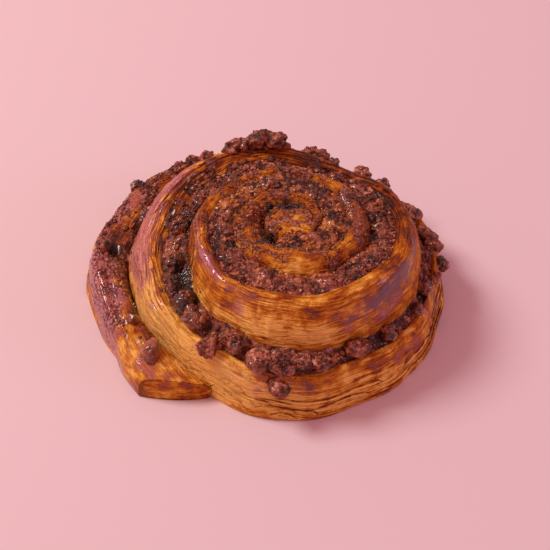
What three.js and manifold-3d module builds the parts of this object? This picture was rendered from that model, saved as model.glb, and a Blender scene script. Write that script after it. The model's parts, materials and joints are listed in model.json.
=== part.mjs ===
// A cinnamon roll of layered dough: one strip wound inwards and upwards from a thin tail to a domed eye,
// with a band of dark cinnamon crumble in the groove between its turns.
// Millimetres and degrees, +Z up. The roll rests on its flat underside.
import * as THREE from 'three';
import { mergeVertices } from 'three/addons/utils/BufferGeometryUtils.js';
import Module from 'manifold-3d';

const wasm = await Module();
wasm.setup();

// The coil as a whole. A turn of 0 is the tail's tip, and each whole turn comes back to the same compass angle.
const tipAngle = 240; // compass of the tail's tip: 0 is the right, 90 the back
const turns = 3.9; // clockwise from the tip to the eye, seen from above
const taper = { perMillimetre: 0.0023, about: 12 }; // the coil narrows with height, and keeps its radius at this level
const seam = 2.2; // width of the filling between two turns, low down
const clearance = 0.4; // kept free between the filling and the dough
const eyeRadius = 7.5;
const eyeHeight = 40;
const eyeDome = 4; // height of the eye's rounded top
const eyeSides = 22;
const tailCut = 21; // how far the cut end of the tail is turned to face the front
const tailCutLength = 0.14; // turns over which that turning fades

// The strip along its length: radius of its outer wall, height of its crest, level of the filling where it meets
// the strip, and how much higher the filling is banked against the turn inside it.
const stations = [
  { turn: 0.0, wall: 59.6, crest: 8, heap: 4, bank: 2 },
  { turn: 0.06, wall: 58.9, crest: 10.3, heap: 6, bank: 2 },
  { turn: 0.13, wall: 59.9, crest: 13.3, heap: 8.8, bank: 2 },
  { turn: 0.2, wall: 67.2, crest: 15.1, heap: 10.8, bank: 2.3 },
  { turn: 0.24, wall: 68, crest: 16, heap: 11.5, bank: 2.5 },
  { turn: 0.33, wall: 66, crest: 16.5, heap: 13.5, bank: 3 },
  { turn: 0.45, wall: 56.5, crest: 17, heap: 15, bank: 4 },
  { turn: 0.6, wall: 51.3, crest: 17.5, heap: 15.5, bank: 5 },
  { turn: 0.76, wall: 46.9, crest: 17.5, heap: 15.5, bank: 7 },
  { turn: 0.83, wall: 46.3, crest: 17.5, heap: 15.7, bank: 7.5 },
  { turn: 0.9, wall: 48.2, crest: 17.5, heap: 16, bank: 8 },
  { turn: 1.06, wall: 46.5, crest: 18.5, heap: 17, bank: 8.5 },
  { turn: 1.2, wall: 52.8, crest: 24, heap: 21, bank: 5.5 },
  { turn: 1.3, wall: 54, crest: 31.9, heap: 27.6, bank: 2.5 },
  { turn: 1.37, wall: 49.8, crest: 34.9, heap: 30.6, bank: 1.8 },
  { turn: 1.43, wall: 44.6, crest: 34.3, heap: 31.3, bank: 1 },
  { turn: 1.49, wall: 41, crest: 33.4, heap: 31.2, bank: 0.8 },
  { turn: 1.55, wall: 40.8, crest: 35.3, heap: 32.5, bank: 0.5 },
  { turn: 1.68, wall: 43.8, crest: 36.5, heap: 33.5, bank: 0 },
  { turn: 1.87, wall: 40.3, crest: 38, heap: 35.5, bank: 0 },
  { turn: 2.1, wall: 35.5, crest: 39, heap: 37, bank: 0 },
  { turn: 2.4, wall: 29, crest: 39.6, heap: 38, bank: 0 },
  { turn: 2.9, wall: 26, crest: 40.2, heap: 38.6, bank: 0 },
  { turn: 3.4, wall: 17, crest: 40.6, heap: 39, bank: 0 },
  { turn: 3.9, wall: 7, crest: 39.5, heap: 38, bank: 0 },
];

// How finely the strip and the filling follow their curve.
const longestStep = 8.2;
const widestStep = 16;
const curveSteps = 3;

// Layers of the dough that show as small ledges on the outer wall, as levels of the height.
const ledges = [0.14, 0.28];
const ledgeDepth = 0.045;

// The wall of the second turn is tucked in below its bulge on the right, and the turn outside it follows a part.
const tuck = { turn: 1.73, reach: 0.2, depth: 4.2, below: 0.66, followed: 0.3 };

// Unevenness of the dough by hand and oven: waves over the strip's length.
const waves = [
  { count: 2.7, size: 0.6, phase: 0.4 },
  { count: 6.3, size: 0.45, phase: 1.9 },
  { count: 13.1, size: 0.25, phase: 4.1 },
];

// Crumbs baked onto the dough: turn, share of the strip's width from its inner wall, radius, and how far the
// middle stands above the dough as a share of that radius.
const doughCrumbs = [
  [0.055, 0.18, 3.1, 0.1], [0.111, 0.06, 1.9, 0.3], [0.2, 0.42, 2.0, 0], [0.276, 0.82, 2.2, 0.1], [0.315, 0.52, 2.0, 0],
  [0.327, 0.54, 2.2, 0], [0.492, 0.88, 2.7, 0], [0.519, 0.88, 2.4, 0.1], [0.564, 0.52, 2.2, 0.1], [0.577, 0.5, 3.1, 0],
  [0.608, 0.6, 2.4, 0], [0.62, 0.66, 2.2, 0.3], [0.634, 0.72, 2.2, 0], [0.654, 0.88, 2.6, 0], [0.679, 0.78, 1.9, 0.2],
  [0.928, 0.95, 3.4, -0.25], [1.016, 0.72, 3.3, 0], [1.318, 0.84, 2.1, 0.2], [1.343, 0.74, 2.3, 0.2],
  [1.358, 0.78, 3.4, 0.3], [1.381, 0.74, 3.7, 0.6], [1.399, 0.74, 3.3, 0.6], [1.412, 0.76, 2.0, -0.2],
  [1.444, 0.84, 2.6, 0], [1.46, 0.82, 2.5, 0.2], [1.481, 0.72, 1.9, -0.1],
];

// Large lumps in the groove: turn of the strip outside it, radius.
const largeLumps = [
  [0.704, 2.8], [0.79, 2.6], [0.835, 3.0], [0.88, 2.9], [0.904, 3.0], [0.929, 3.9], [0.953, 3.8],
  [0.987, 3.0], [1.052, 3.5], [1.08, 3.2], [1.113, 3.3], [1.15, 2.9], [1.185, 2.8], [1.221, 3.0],
  [1.265, 3.0], [1.5, 2.6], [1.55, 2.8], [1.854, 3.1], [1.97, 2.5], [2.06, 2.6], [2.5, 2.2],
];
const lumpSpacing = 22; // of the smaller lumps between them
const lumpRadius = { low: 1.7, high: 2.7 };
const fillingEnd = 2.88; // turn at which the groove runs out beside the eye
const largeFrom = 3.2; // radius from which a lump has more faces
const lumpRoom = 4.5; // least way between the middles of two lumps
const heapRise = 0.05; // of the heaped top over its edges, as a share of its height
const crumbSeeds = { dough: 41, filling: 17 };

// Smooth value of one column of the stations at a turn.
function along(column, turn) {
  const last = stations.length - 1;
  const t = THREE.MathUtils.clamp(turn, stations[0].turn, stations[last].turn);
  let i = 0;
  while (i < last - 1 && stations[i + 1].turn < t) {
    i += 1;
  }
  const slope = (j) => {
    const a = stations[Math.max(0, j - 1)];
    const b = stations[Math.min(last, j + 1)];
    return (b[column] - a[column]) / (b.turn - a.turn);
  };
  const span = stations[i + 1].turn - stations[i].turn;
  const u = (t - stations[i].turn) / span;
  const rise = u * u * (3 - 2 * u);
  const lead = u * (1 - u) * (1 - u) * span * slope(i);
  const trail = u * u * (u - 1) * span * slope(i + 1);
  return stations[i][column] * (1 - rise) + stations[i + 1][column] * rise + lead + trail;
}

function waviness(turn, shift) {
  let sum = 0;
  for (const wave of waves) {
    sum += wave.size * Math.sin(2 * Math.PI * wave.count * turn + wave.phase + shift);
  }
  return sum;
}

const outerWall = (turn) => along('wall', turn) + waviness(turn, 0);
const crestHeight = (turn) => along('crest', turn);

// Level of the filling from the turn inside it, 0, across to the strip, 1.
const heapLevel = (turn, across) => along('heap', turn) + (1 - across) * along('bank', turn);

// How far the wall is tucked in at a turn, from 0 to 1.
const tuckAt = (turn) => 1 - THREE.MathUtils.smoothstep(Math.abs(turn - tuck.turn), 0, tuck.reach);

// The last turn has no groove inside it: it closes onto the eye.
function innerWall(turn) {
  if (turn < turns - 1) {
    return outerWall(turn + 1) + seam - tuck.followed * tuck.depth * tuckAt(turn + 1);
  }
  const closing = THREE.MathUtils.smoothstep(turn, turns - 1, turns - 0.88);
  return THREE.MathUtils.lerp(outerWall(turns) + seam, eyeRadius - 2, closing);
}

// The strip's cross-section, drawn with its width and height as 1: share from the inner wall, level from the base.
function sectionShape(layered) {
  const shape = new THREE.Shape();
  shape.moveTo(0.03, 0);
  shape.lineTo(0.9, 0);
  shape.lineTo(0.985, 0.06);
  for (const level of ledges) {
    shape.lineTo(1, level);
    if (layered) {
      shape.lineTo(1 - ledgeDepth, level + 0.03);
    }
  }
  shape.lineTo(1, 0.44);
  shape.bezierCurveTo(1, 0.76, 0.9, 1, 0.62, 1);
  shape.bezierCurveTo(0.38, 1, 0.13, 0.91, 0.04, 0.67);
  shape.lineTo(0, 0.4);
  shape.closePath();
  return shape;
}

// Where a point of the section lies at a turn, as radius and height. On the thin tail the crest moves outwards.
function sectionPoint(turn, share, level) {
  const inner = innerWall(turn);
  const width = outerWall(turn) - inner;
  const flatness = THREE.MathUtils.lerp(0.55, 1, THREE.MathUtils.smoothstep(turn, 0.25, 0.45));
  const low = Math.max(0, 1 - level / tuck.below);
  const radius = inner + width * Math.pow(share, flatness) - tuck.depth * tuckAt(turn) * low * share;
  const height = level * (crestHeight(turn) + 0.8 * waviness(turn + 0.37, 4 * share));
  return { radius, height };
}

// Radius of the outer or inner side of the strip at a height.
const outline = sectionShape(true).extractPoints(curveSteps).shape;
const crestIndex = outline.reduce((best, p, i) => (p.y > outline[best].y ? i : best), 0);
function sideRadius(turn, height, side) {
  const points = side === 'outer' ? outline.slice(1, crestIndex + 1) : outline.slice(crestIndex).reverse();
  const places = points.map((p) => sectionPoint(turn, p.x, p.y));
  for (let i = 1; i < places.length; i += 1) {
    if (height <= places[i].height) {
      const u = (height - places[i - 1].height) / (places[i].height - places[i - 1].height);
      return THREE.MathUtils.lerp(places[i - 1].radius, places[i].radius, Math.max(0, u));
    }
  }
  return places[places.length - 1].radius;
}

// Height of the strip's top surface at a share of its width.
function topHeight(turn, share) {
  for (let i = 1; i < outline.length; i += 1) {
    const high = outline[i - 1];
    const low = outline[i];
    if (high.y > 0.45 && share <= high.x && share >= low.x) {
      const u = (high.x - share) / (high.x - low.x);
      return sectionPoint(turn, share, THREE.MathUtils.lerp(high.y, low.y, u)).height;
    }
  }
  return sectionPoint(turn, share, 0.5).height;
}

// A point of the coil from its turn, radius and height. The tail's cut end is turned towards the front.
function place(turn, radius, height) {
  const share = THREE.MathUtils.clamp((radius - innerWall(turn)) / (outerWall(turn) - innerWall(turn)), 0, 1.2);
  const fade = 1 - THREE.MathUtils.smoothstep(turn, 0, tailCutLength);
  const angle = THREE.MathUtils.degToRad(tipAngle - 360 * turn - tailCut * share * fade);
  const narrowed = radius * (1 - taper.perMillimetre * (height - taper.about));
  return new THREE.Vector3(narrowed * Math.cos(angle), narrowed * Math.sin(angle), height);
}

// Turns at which the strip has a section: closer together where the coil is tight.
function sectionTurns(start, end, radiusAt) {
  const found = [start];
  while (found[found.length - 1] < end) {
    const here = found[found.length - 1];
    const step = Math.min(longestStep / (2 * Math.PI * radiusAt(here)), widestStep / 360);
    found.push(here + step);
  }
  found[found.length - 1] = end;
  if (end - found[found.length - 2] < 0.004) {
    found.splice(found.length - 2, 1);
  }
  return found;
}

// A straight bar of the given section, wound into the coil by a rule for each of its points.
function woundBar(shape, bends, rule) {
  const steps = bends.length - 1;
  const bar = new THREE.ExtrudeGeometry(shape, { depth: 1, steps, curveSegments: curveSteps, bevelEnabled: false });
  const position = bar.attributes.position;
  for (let i = 0; i < position.count; i += 1) {
    const turn = bends[Math.round(position.getZ(i) * steps)];
    const point = rule(turn, position.getX(i), position.getY(i));
    position.setXYZ(i, point.x, point.y, point.z);
  }
  return bar;
}

// Geometry to a solid, with its faces turned outwards.
function solid(geometry) {
  const bare = geometry.clone();
  bare.deleteAttribute('normal');
  bare.deleteAttribute('uv');
  const merged = mergeVertices(bare, 1e-4);
  const vertProperties = new Float32Array(merged.attributes.position.array);
  const triVerts = new Uint32Array(merged.index.array);
  if (signedVolume(vertProperties, triVerts) < 0) {
    for (let i = 0; i < triVerts.length; i += 3) {
      const first = triVerts[i];
      triVerts[i] = triVerts[i + 1];
      triVerts[i + 1] = first;
    }
  }
  return new wasm.Manifold(new wasm.Mesh({ numProp: 3, vertProperties, triVerts }));
}

function signedVolume(points, triangles) {
  const corner = (k) => new THREE.Vector3(points[3 * k], points[3 * k + 1], points[3 * k + 2]);
  let sum = 0;
  for (let i = 0; i < triangles.length; i += 3) {
    const [a, b, c] = [corner(triangles[i]), corner(triangles[i + 1]), corner(triangles[i + 2])];
    sum += a.dot(b.cross(c)) / 6;
  }
  return sum;
}

// The largest body of a solid: loose scraps are dropped.
function largestBody(body) {
  const pieces = body.decompose();
  return pieces.reduce((best, piece) => (piece.volume() > best.volume() ? piece : best), pieces[0]);
}

function meshOf(body, name, material) {
  const data = body.getMesh();
  const geometry = new THREE.BufferGeometry();
  geometry.setAttribute('position', new THREE.BufferAttribute(new Float32Array(data.vertProperties), 3));
  geometry.setIndex(new THREE.BufferAttribute(new Uint32Array(data.triVerts), 1));
  geometry.computeVertexNormals();
  const mesh = new THREE.Mesh(geometry, material);
  mesh.name = name;
  return mesh;
}

// Seeded draws between 0 and 1.
function seededDraws(seed) {
  let state = seed;
  return () => {
    state = (state * 1664525 + 1013904223) % 4294967296;
    return state / 4294967296;
  };
}

// One lump of crumble: a rough ball, a little flattened, with a knob of its own.
function lump(centre, radius, growth, draw) {
  const full = radius + growth;
  const ball = radius > largeFrom ? new THREE.IcosahedronGeometry(full, 1) : new THREE.DodecahedronGeometry(full);
  ball.deleteAttribute('normal');
  ball.deleteAttribute('uv');
  const shared = mergeVertices(ball, 1e-4);
  const position = shared.attributes.position;
  const stretch = new THREE.Vector3(0.95 + 0.25 * draw(), 0.95 + 0.25 * draw(), 0.85 + 0.2 * draw());
  const knob = new THREE.Vector3(draw() - 0.5, draw() - 0.5, draw()).normalize();
  for (let i = 0; i < position.count; i += 1) {
    const p = new THREE.Vector3().fromBufferAttribute(position, i);
    const bulge = 0.86 + 0.2 * draw() + 0.16 * Math.max(0, p.dot(knob) / full);
    p.multiply(stretch).multiplyScalar(bulge).add(centre);
    position.setXYZ(i, p.x, p.y, p.z);
  }
  return solid(shared);
}

// The strip wound into its coil. Grown by the clearance all round, it trims what lies against it.
function makeStrip(layered, growth) {
  return solid(woundBar(sectionShape(layered), sectionTurns(0, turns, outerWall), (turn, share, level) => {
    const spot = sectionPoint(turn, share, level);
    const aside = share > 0.66 ? growth : -growth;
    const lift = level > 0 ? growth * level : -growth;
    return place(turn, spot.radius + aside, spot.height + lift);
  }));
}

// The crumbs baked onto the dough, from the same draws whatever their growth.
function makeDoughCrumbs(growth) {
  const draw = seededDraws(crumbSeeds.dough);
  return doughCrumbs.map(([turn, share, radius, lift]) => {
    const across = sectionPoint(turn, share, 1).radius;
    const centre = place(turn, across, topHeight(turn, share) + lift * radius);
    return lump(centre, radius, 1.2 * growth, draw);
  });
}

// The dough: the wound strip, the eye that closes it, and its crumbs.
function makeDough() {
  const profile = [new THREE.Vector2(0, 0), new THREE.Vector2(eyeRadius, 0)];
  for (let k = 0; k < 5; k += 1) {
    const angle = (k / 5) * Math.PI / 2;
    profile.push(new THREE.Vector2(eyeRadius * Math.cos(angle), eyeHeight + eyeDome * (Math.sin(angle) - 1)));
  }
  profile.push(new THREE.Vector2(0, eyeHeight));
  const eye = new THREE.LatheGeometry(profile, eyeSides).rotateX(Math.PI / 2);
  const coil = makeStrip(true, 0).add(solid(eye));
  return largestBody(makeDoughCrumbs(0).reduce((body, crumb) => body.add(crumb), coil));
}

// Where the lumps of the groove lie: the large ones, and smaller ones wherever there is room between them.
function lumpPlaces(draw) {
  const places = largeLumps.map(([turn, radius]) => ({ turn, radius }));
  let next = 0.05;
  while (next < fillingEnd - 0.04) {
    const turn = next;
    const around = 2 * Math.PI * innerWall(turn);
    const radius = THREE.MathUtils.lerp(lumpRadius.low, lumpRadius.high, draw());
    if (places.every((other) => Math.abs(other.turn - turn) * around > lumpRoom)) {
      places.push({ turn, radius });
    }
    next = turn + lumpSpacing * (0.7 + 0.6 * draw()) / around;
  }
  return places;
}

// The filling: a band of crumble from wall to wall of the groove, heaped along its top, with lumps in it.
function makeFilling() {
  const draw = seededDraws(crumbSeeds.filling);
  const shape = new THREE.Shape();
  shape.moveTo(0, 0);
  shape.lineTo(1, 0);
  shape.lineTo(1, 1);
  shape.quadraticCurveTo(0.5, 1 + 2 * heapRise, 0, 1);
  shape.closePath();
  const band = solid(woundBar(shape, sectionTurns(0.012, fillingEnd, innerWall), (turn, across, up) => {
    const top = heapLevel(turn, across) + 0.5 * waviness(1.7 * turn, across);
    const height = THREE.MathUtils.lerp(clearance, top, up);
    const from = Math.max(sectionPoint(turn + 1, 0.7, 1).radius, eyeRadius - 1);
    const to = sectionPoint(turn, 0.55, 1).radius;
    return place(turn, THREE.MathUtils.lerp(from, to, across), height);
  }));
  const heaped = lumpPlaces(draw).reduce((body, spot) => {
    const across = 0.3 + 0.4 * draw();
    const level = heapLevel(spot.turn, across);
    const from = sideRadius(spot.turn + 1, level, 'outer');
    const to = sideRadius(spot.turn, level, 'inner');
    const centre = place(spot.turn, THREE.MathUtils.lerp(from, to, across), level + 0.1 * spot.radius);
    return body.add(lump(centre, spot.radius, 0, draw));
  }, band);
  const eyeRoom = new THREE.CylinderGeometry(eyeRadius + clearance, eyeRadius + clearance, 2 * eyeHeight + 4, eyeSides);
  const kept = heaped.subtract(makeStrip(false, clearance)).subtract(solid(eyeRoom.rotateX(Math.PI / 2)));
  return largestBody(makeDoughCrumbs(clearance).reduce((body, crumb) => body.subtract(crumb), kept));
}

const roll = new THREE.Group();
const browned = new THREE.MeshStandardMaterial({ color: 0xb8702e, roughness: 0.45, metalness: 0 });
roll.add(meshOf(makeDough(), 'dough_coil', browned));
const crumble = new THREE.MeshStandardMaterial({ color: 0x6e3a30, roughness: 0.75, metalness: 0 });
roll.add(meshOf(makeFilling(), 'cinnamon_crumble', crumble));

// The origin is the middle of the roll's box, on the surface that it rests on.
const box = new THREE.Box3().setFromObject(roll);
roll.position.set(-(box.min.x + box.max.x) / 2, -(box.min.y + box.max.y) / 2, -box.min.z);

export default roll;
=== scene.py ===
# A glazed cinnamon roll: one strip of layered dough wound inwards and upwards from a thin tail to a domed
# eye, with dark cinnamon crumble in the groove between its turns. The coil is worked out in millimetres
# about its eye, and its meshes are in metres.
import bpy
import bmesh
import json
import random
from math import cos, exp, hypot, pi, radians, sin, sqrt
from mathutils import Matrix, Vector, noise
from mathutils.bvhtree import BVHTree


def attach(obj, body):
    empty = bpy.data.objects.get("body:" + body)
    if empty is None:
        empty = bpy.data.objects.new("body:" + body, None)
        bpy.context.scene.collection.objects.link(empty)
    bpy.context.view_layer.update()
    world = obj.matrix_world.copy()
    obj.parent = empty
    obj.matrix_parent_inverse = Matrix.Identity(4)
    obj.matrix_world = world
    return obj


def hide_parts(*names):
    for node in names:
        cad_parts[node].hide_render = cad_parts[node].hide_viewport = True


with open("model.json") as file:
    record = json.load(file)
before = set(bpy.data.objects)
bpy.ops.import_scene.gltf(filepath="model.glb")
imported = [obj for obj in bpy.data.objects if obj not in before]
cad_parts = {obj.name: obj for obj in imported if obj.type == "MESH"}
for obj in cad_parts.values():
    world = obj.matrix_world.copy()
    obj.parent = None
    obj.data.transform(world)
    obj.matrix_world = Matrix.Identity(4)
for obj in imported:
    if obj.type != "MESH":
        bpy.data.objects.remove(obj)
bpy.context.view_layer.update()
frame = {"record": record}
mm = 0.001
eyeSpot = Vector(frame["record"]["mounts"][0]["pos_m"])  # the flat underside of the eye

coil = {
    "tipAngle": 240,  # compass of the tail's tip: 0 is the right, 90 the back
    "turns": 3.9,  # clockwise from the tip to the eye, seen from above
    "taper": 0.0023,  # the coil narrows with height, and keeps its radius at the level below
    "taperAbout": 12,
    "seam": 2.2,
    "eyeRadius": 7.5,
    "eyeHeight": 40,
    "eyeDome": 4,
    "tailCut": 21,  # how far the cut end of the tail is turned to face the front
    "tailCutLength": 0.14,
    "tuckTurn": 1.73,  # the second turn's wall is tucked in below its bulge here
    "tuckReach": 0.2,
    "tuckDepth": 4.2,
    "tuckBelow": 0.66,
    "tuckFollowed": 0.3,  # by the turn outside it
    "joined": (0.25, 0.34),  # up to here the tail's flank lies against the turn inside it
    "overlap": 1.8,  # how many seams it is then wider
    "joinRise": 0.3,  # raises its inner flank
    "tailFlatness": 0.55,  # power of a share of the width: below 1 the tail's crest lies further out
    "flatUntil": (0.25, 0.45),  # where it rises to 1
    "swirlFrom": (2.02, 2.3),  # the innermost turns are browner and covered with crumbs
    "waves": [(2.7, 0.6, 0.4), (6.3, 0.45, 1.9), (13.1, 0.25, 4.1)],  # count, size and phase over the turns
    # radius of the outer wall, height of the crest, level of the filling against the strip, and how much
    # higher the filling is banked against the turn inside it
    "columns": ("turn", "wall", "crest", "filling", "bank"),
    "stations": [
        (0, 59.6, 8, 4, 2), (0.06, 58.9, 10.3, 6, 2), (0.13, 59.9, 13.3, 8.8, 2),
        (0.2, 67.2, 15.1, 10.8, 2.3), (0.24, 68, 16, 11.5, 2.5), (0.33, 66, 16.5, 13.5, 3),
        (0.45, 56.5, 17, 15, 4), (0.6, 51.3, 17.5, 15.5, 5), (0.76, 46.9, 17.5, 15.5, 7),
        (0.83, 46.3, 17.5, 15.7, 7.5), (0.9, 48.2, 17.5, 16, 8), (1.06, 46.5, 18.5, 17, 8.5),
        (1.2, 52.8, 24, 21, 5.5), (1.3, 54, 31.9, 27.6, 2.5), (1.37, 49.8, 34.9, 30.6, 1.8),
        (1.43, 44.6, 34.3, 31.3, 1), (1.49, 41, 33.4, 31.2, 0.8), (1.55, 40.8, 35.3, 32.5, 0.5),
        (1.68, 43.8, 36.5, 33.5, 0), (1.87, 40.3, 38, 35.5, 0), (2.1, 35.5, 39, 37, 0),
        (2.4, 29, 39.6, 38, 0), (2.9, 26, 40.2, 38.6, 0), (3.4, 17, 40.6, 39, 0), (3.9, 7, 39.5, 38, 0),
    ],
}


def clamp(value, low=0.0, high=1.0):
    return max(low, min(high, value))


def lerp(a, b, share):
    return a + (b - a) * share


def smoothstep(value, low, high):
    share = clamp((value - low) / (high - low))
    return share * share * (3 - 2 * share)


def between(value, low, full, fading, high):  # 0 up to low, 1 from full to fading, and 0 from high
    return smoothstep(value, low, full) * (1 - smoothstep(value, fading, high))


def noiseAt(spot, size, *shift):  # a different noise for each shift
    return noise.noise(spot / size + Vector(shift))


def along(name, turn):  # smooth value of one column of the stations
    column = coil["columns"].index(name)
    stations = coil["stations"]
    last = len(stations) - 1
    t = clamp(turn, 0, coil["turns"])
    i = 0
    while i < last - 1 and stations[i + 1][0] < t:
        i += 1

    def slope(j):
        a, b = stations[max(0, j - 1)], stations[min(last, j + 1)]
        return (b[column] - a[column]) / (b[0] - a[0])

    here, following = stations[i], stations[i + 1]
    span = following[0] - here[0]
    u = (t - here[0]) / span
    rise = u * u * (3 - 2 * u)
    bend = u * (1 - u) * (1 - u) * span * slope(i) + u * u * (u - 1) * span * slope(i + 1)
    return here[column] * (1 - rise) + following[column] * rise + bend


def waviness(turn, shift):
    return sum(size * sin(2 * pi * count * turn + phase + shift) for count, size, phase in coil["waves"])


def outerWall(turn):
    return along("wall", turn) + waviness(turn, 0)


def tuckAt(turn):
    return 1 - smoothstep(abs(turn - coil["tuckTurn"]), 0, coil["tuckReach"])


def innerWall(turn):  # the last turn has no groove inside it: it closes onto the eye
    last = coil["turns"] - 1
    if turn < last:
        followed = coil["tuckFollowed"] * coil["tuckDepth"] * tuckAt(turn + 1)
        return outerWall(turn + 1) + coil["seam"] - followed
    closing = smoothstep(turn, last, last + 0.12)
    return lerp(outerWall(coil["turns"]) + coil["seam"], coil["eyeRadius"] - 2, closing)


def heapLevel(turn, across):  # of the filling, from the turn inside it, 0, across to the strip, 1
    return along("filling", turn) + (1 - across) * along("bank", turn)


def bezier(a, b, c, d, count):
    spots = []
    for i in range(1, count + 1):
        u = i / count
        v = 1 - u
        weights = (v * v * v, 3 * v * v * u, 3 * v * u * u, u * u * u)
        spots.append(tuple(sum(w * p[k] for w, p in zip(weights, (a, b, c, d))) for k in (0, 1)))
    return spots


def straight(a, b, count):
    return [(lerp(a[0], b[0], i / count), lerp(a[1], b[1], i / count)) for i in range(1, count + 1)]


# The strip's cross-section with its width and height as 1: share from the inner wall, level from the base.
baseSteps = 6
outline = [(0.03, 0)]
outline += straight((0.03, 0), (0.9, 0), baseSteps)
outline += bezier((0.9, 0), (0.96, 0), (0.99, 0.03), (1, 0.14), 8)
outline += straight((1, 0.14), (1, 0.44), 18)
outline += bezier((1, 0.44), (1, 0.76), (0.9, 1), (0.62, 1), 56)
outline += bezier((0.62, 1), (0.38, 1), (0.13, 0.91), (0.04, 0.67), 56)
outline += straight((0.04, 0.67), (0, 0.4), 10)
outline += straight((0, 0.4), (0.03, 0), 10)
crestIndex = max(range(len(outline)), key=lambda i: outline[i][1])


class Cut:  # the strip cut through at one turn
    def __init__(self, turn, plain=False):  # plain: the tail's flank keeps clear of the turn inside it
        self.turn = turn
        self.joined = 0 if plain else 1 - smoothstep(turn, *coil["joined"])
        self.inner = innerWall(turn) - coil["overlap"] * coil["seam"] * self.joined
        self.outer = outerWall(turn)
        self.crest = along("crest", turn)
        self.flatness = lerp(coil["tailFlatness"], 1, smoothstep(turn, *coil["flatUntil"]))
        self.tuck = tuckAt(turn)
        self.fade = 1 - smoothstep(turn, 0, coil["tailCutLength"])
        self.compass = coil["tipAngle"] - 360 * turn

    def spot(self, share, level):  # radius and height of a point of the section
        low = max(0, 1 - level / coil["tuckBelow"])
        radius = self.inner + (self.outer - self.inner) * share ** self.flatness
        radius -= coil["tuckDepth"] * self.tuck * low * share
        if share < 0.5 < level:
            level += coil["joinRise"] * self.joined * (0.5 - share)
        return radius, level * (self.crest + 0.8 * waviness(self.turn + 0.37, 4 * share))

    def place(self, radius, height):  # in the frame, in metres
        share = clamp((radius - self.inner) / (self.outer - self.inner), 0, 1.2)
        angle = radians(self.compass - coil["tailCut"] * share * self.fade)
        narrowed = radius * (1 - coil["taper"] * (height - coil["taperAbout"]))
        return eyeSpot + Vector((narrowed * cos(angle), narrowed * sin(angle), height)) * mm

    def side(self, height, outside):  # radius of the outer or inner side at a height
        points = outline[1:crestIndex + 1] if outside else outline[crestIndex:][::-1]
        before = self.spot(*points[0])
        for share, level in points[1:]:
            here = self.spot(share, level)
            if height <= here[1]:
                u = max(0, (height - before[1]) / (here[1] - before[1] + 1e-6))
                return lerp(before[0], here[0], u)
            before = here
        return before[0]

    def top(self, share):  # height of the top surface at a share of the width
        for before, after in zip(outline, outline[1:]):
            if before[1] > 0.45 and before[0] >= share >= after[0]:
                u = (before[0] - share) / max(1e-6, before[0] - after[0])
                return self.spot(share, lerp(before[1], after[1], u))[1]
        return self.spot(share, 0.5)[1]


def evenly(reached, count):  # for steps of equal length: the interval, how far into it, and the length so far
    i = 0
    for k in range(count + 1):
        wanted = reached[-1] * k / count
        while i < len(reached) - 2 and reached[i + 1] < wanted:
            i += 1
        yield i, clamp((wanted - reached[i]) / max(1e-9, reached[i + 1] - reached[i])), wanted


def runLengths(start, end, radiusAt, count):  # turns evenly along the strip, and how far along it they are
    steps = 2000
    reached = [0.0]
    for i in range(steps):
        turn = lerp(start, end, (i + 0.5) / steps)
        reached.append(reached[-1] + 2 * pi * radiusAt(turn) * (end - start) / steps)
    return [(lerp(start, end, (i + u) / steps), way) for i, u, way in evenly(reached, count)]


def seededDraws(seed):  # numbers from 0 to 1
    span = 2 ** 32
    state = seed
    while True:
        state = (state * 1664525 + 1013904223) % span
        yield state / span


def granules(spot, size):  # 1 in the middle of a grain, 0 in the cracks between grains
    nearest = noise.voronoi(spot / size)[0][0]
    return max(0, 1 - 1.5 * nearest * nearest)


# Places baked darker, or lighter where the amount is below 0, seen from above: x, y and reach in mm from the
# eye, and the amount.
scorches = [
    (-6.4, 6.3, 1.8, 1), (-6.8, 2.5, 1.6, 0.7), (-1, 6.6, 2.6, 1.2), (2.6, 6.2, 1.8, 0.8), (-7, -7.4, 2.8, 1),
    (-10, -12, 2.5, 0.6), (-18.2, -9.9, 2, 1), (-36.1, 40.7, 2.8, 1), (-34.6, 15.5, 3, 0.5),
    (-34.2, -11, 6, 0.75), (20, 10.3, 2.2, 0.8), (25.6, -3.8, 2.6, 0.6), (25.3, -14.1, 2.6, 0.6),
    (-58, 12.7, 2.4, 1), (-50.3, 42.9, 4, 0.6), (-14.5, 27.2, 4, 0.5), (9, 28, 5, 0.4), (44.7, -7.8, 4, 0.5),
    (-62, 24, 5, 0.5), (-57, 35, 5, 0.4), (-22, 24, 3, 0.5), (27, 6, 2.5, 0.5), (-3, -23, 4.5, -0.8),
    (4, -21, 4.5, -0.8), (10, -26, 4, -0.4), (17.6, 16.5, 5, -0.3), (11.7, -26.5, 2.6, -0.5),
    (2.5, -1.5, 6.5, -0.25), (-12, 14, 6, -0.35), (-22, 8, 6, -0.35),
]


def scorchAt(spot):
    found = 0
    for x, y, reach, amount in scorches:
        apart = ((spot.x - x) ** 2 + (spot.y - y) ** 2) / (reach * reach)
        if apart < 5:
            found += amount * exp(-apart)
    return found


def bakedAt(spot):  # how burnt a place is and how pale
    scorch = scorchAt(spot)
    return max(0, scorch), 0.5 * max(0, -scorch)


# Marks of hand and oven on the dough. A mark lies at a turn and at a way from the crest in mm, positive down
# the outer wall, and reaches so far along and across. What it does: brown (darker or lighter), rose (a pink
# milky glaze, and a painted pink reflection of the surroundings on the glossy walls), violet (a purple tint,
# and a painted bluish reflection where the glaze is glossy), wet (gloss), dent (mm inwards, or outwards if
# negative), crust (baked-on crumble), smooth (1 takes the fine relief away), streaks (stronger fibres),
# layers (fine lines of the layers).
def mark(turn, way, length, width, **effects):
    return turn, way, length, width, effects


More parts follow.
